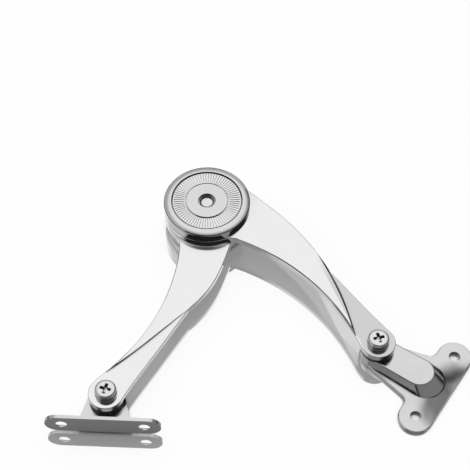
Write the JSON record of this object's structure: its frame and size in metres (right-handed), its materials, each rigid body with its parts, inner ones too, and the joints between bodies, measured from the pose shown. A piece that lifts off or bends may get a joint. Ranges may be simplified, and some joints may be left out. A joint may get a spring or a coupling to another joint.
{
  "type": "lid stay",
  "caption": "Folding lid stay with curved chrome arms, a friction hub under a serrated round cap, a flat cabinet bracket and a bent lid bracket",
  "frame": {"origin": "middle of the cabinet bracket's seat, between its two screw holes", "axes": "+Z along the hinge axes, away from the seat; +X along the length of the lid bracket's plate at rest"},
  "size_m": [0.1664, 0.1205, 0.0163],
  "materials": {
    "arm_chrome": "polished",
    "cap_chrome": "polished",
    "ring_chrome": "serrated",
    "bracket_nickel": "satin",
    "screw_chrome": "polished",
    "spacer_black": "matt",
    "inner_steel": "plain",
    "friction_lining": "matt",
    "bush_plastic": "matt"
  },
  "bodies": {
    "cabinet_side": {"cabinet_bracket": "bracket_nickel", "cabinet_spacer": "spacer_black", "cabinet_bush": "bush_plastic", "cabinet_flat_washer": "screw_chrome", "cabinet_spring_washer": "screw_chrome", "cabinet_screw": "screw_chrome"},
    "upper_arm": {"cabinet_arm": "arm_chrome", "cap_bezel": "cap_chrome", "serrated_ring": "ring_chrome", "cap_centre": "cap_chrome", "hub_bush": "bush_plastic"},
    "lower_arm": {"lid_arm": "arm_chrome", "back_cover": "cap_chrome", "stop_pin": "inner_steel", "hub_bolt": "screw_chrome", "hub_nut": "inner_steel", "disc_springs": "inner_steel", "pressure_plate": "inner_steel", "upper_friction_disc": "friction_lining", "lower_friction_disc": "friction_lining", "backing_plate": "inner_steel"},
    "lid_side": {"lid_bracket": "bracket_nickel", "lid_spacer": "spacer_black", "lid_bush": "bush_plastic", "lid_flat_washer": "screw_chrome", "lid_spring_washer": "screw_chrome", "lid_screw": "screw_chrome"}
  },
  "joints": [
    {"name": "cabinet_pivot", "type": "hinge", "parent": "cabinet_side", "child": "upper_arm", "pos_m": [-0.02306, 0.01385, 0.006], "axis": [0, 0, 1], "range_deg": [-40, 40]},
    {"name": "hub_hinge", "type": "hinge", "parent": "upper_arm", "child": "lower_arm", "pos_m": [-0.09436, 0.07694, 0.0085], "axis": [0, 0, 1], "range_deg": [-50, 40]},
    {"name": "lid_pivot", "type": "hinge", "parent": "lower_arm", "child": "lid_side", "pos_m": [-0.12894, -0.01176, 0.005], "axis": [0, 0, 1], "range_deg": [-45, 60]}
  ]
}
